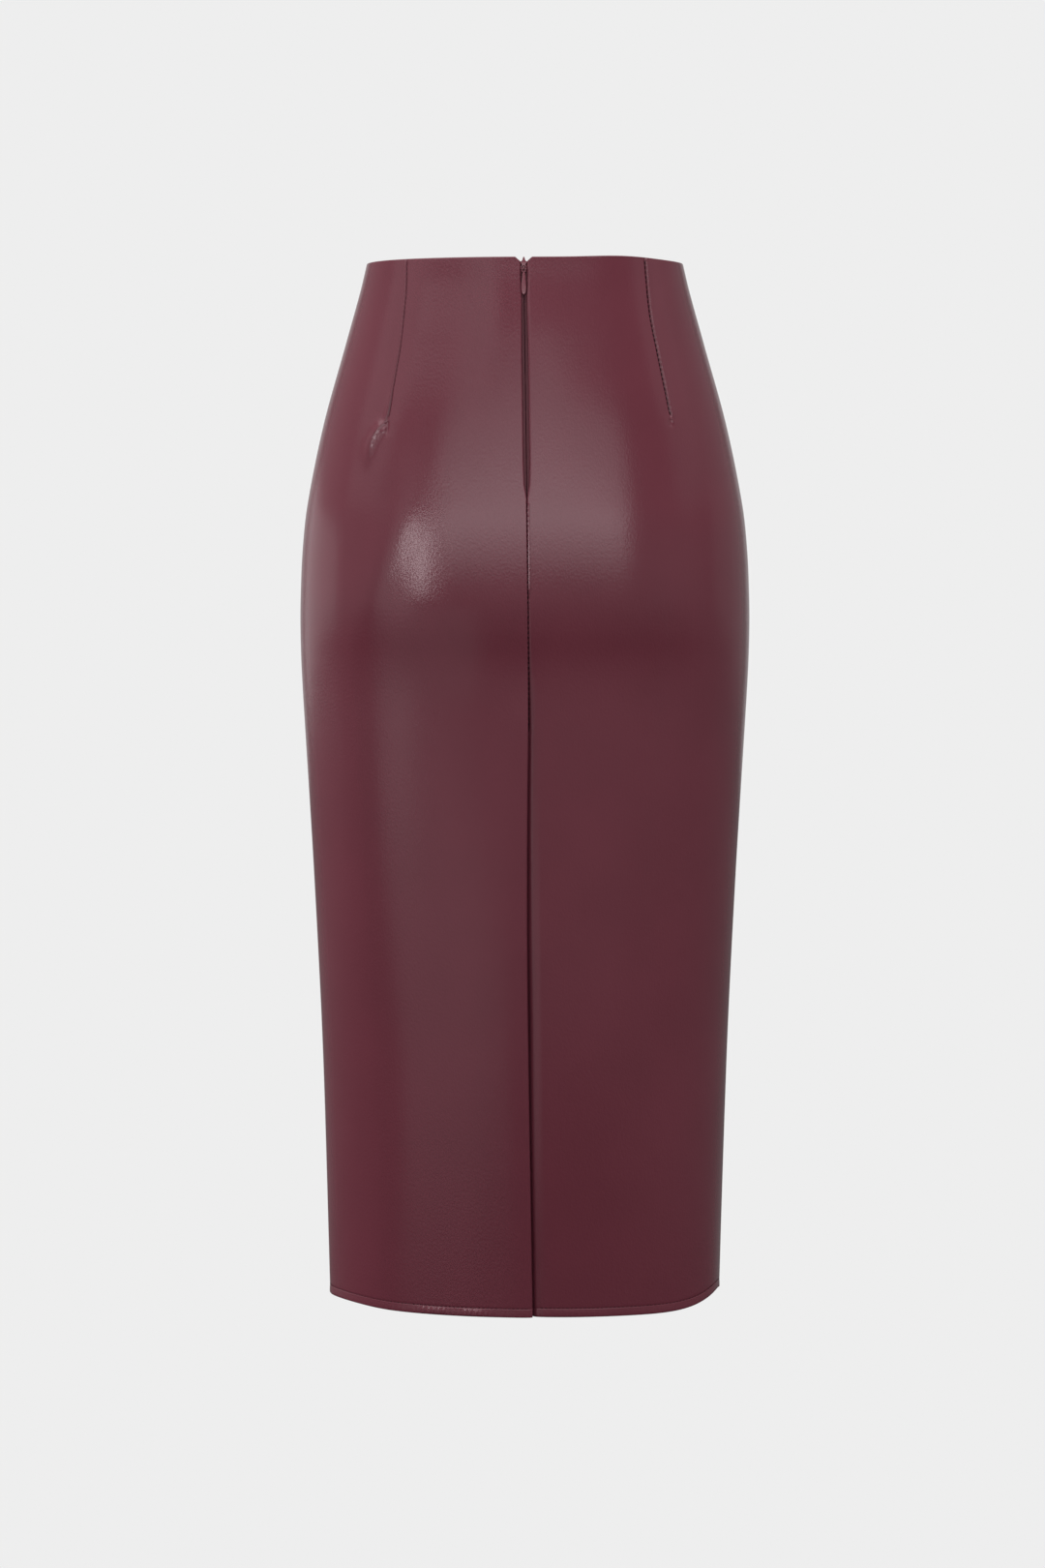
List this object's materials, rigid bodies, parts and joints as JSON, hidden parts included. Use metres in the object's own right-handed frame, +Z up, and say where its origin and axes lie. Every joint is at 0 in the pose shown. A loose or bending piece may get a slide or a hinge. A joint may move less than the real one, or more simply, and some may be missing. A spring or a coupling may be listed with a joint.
{
  "type": "leather pencil skirt",
  "caption": "High-waisted midi pencil skirt in faux leather, hollow as worn, with darts, a concealed centre back zip with a pull tab, and a lapped back vent.",
  "frame": {"origin": "centre of the waist opening, level with the waist edge at the sides", "axes": "+Z up through the waist, -Y towards the garment's back where the zip is, +X to the right of someone who looks at the back"},
  "size_m": [0.338, 0.2359, 0.7792],
  "materials": {
    "leather": "satin, fine grain",
    "lining": "brushed knit backing",
    "thread": "twisted sewing thread",
    "zip_tape": "knitted polyester tape",
    "zip_coil": "satin nylon",
    "zip_metal": "gloss lacquer"
  },
  "bodies": {
    "garment": {"front_panel": "leather", "back_panel_left": "leather", "back_panel_right": "leather", "zip_tape_left": "zip_tape", "zip_tape_right": "zip_tape", "zip_coil": "zip_coil", "zip_slider": "zip_metal", "zip_bottom_stop": "zip_metal"},
    "pull": {"zip_pull": "zip_metal"}
  },
  "joints": [
    {"name": "pull_swing", "type": "hinge", "parent": "garment", "child": "pull", "pos_m": [-0.0009, -0.0905, -0.0085], "axis": [-1, 0, 0], "range_deg": [0, 165]}
  ]
}
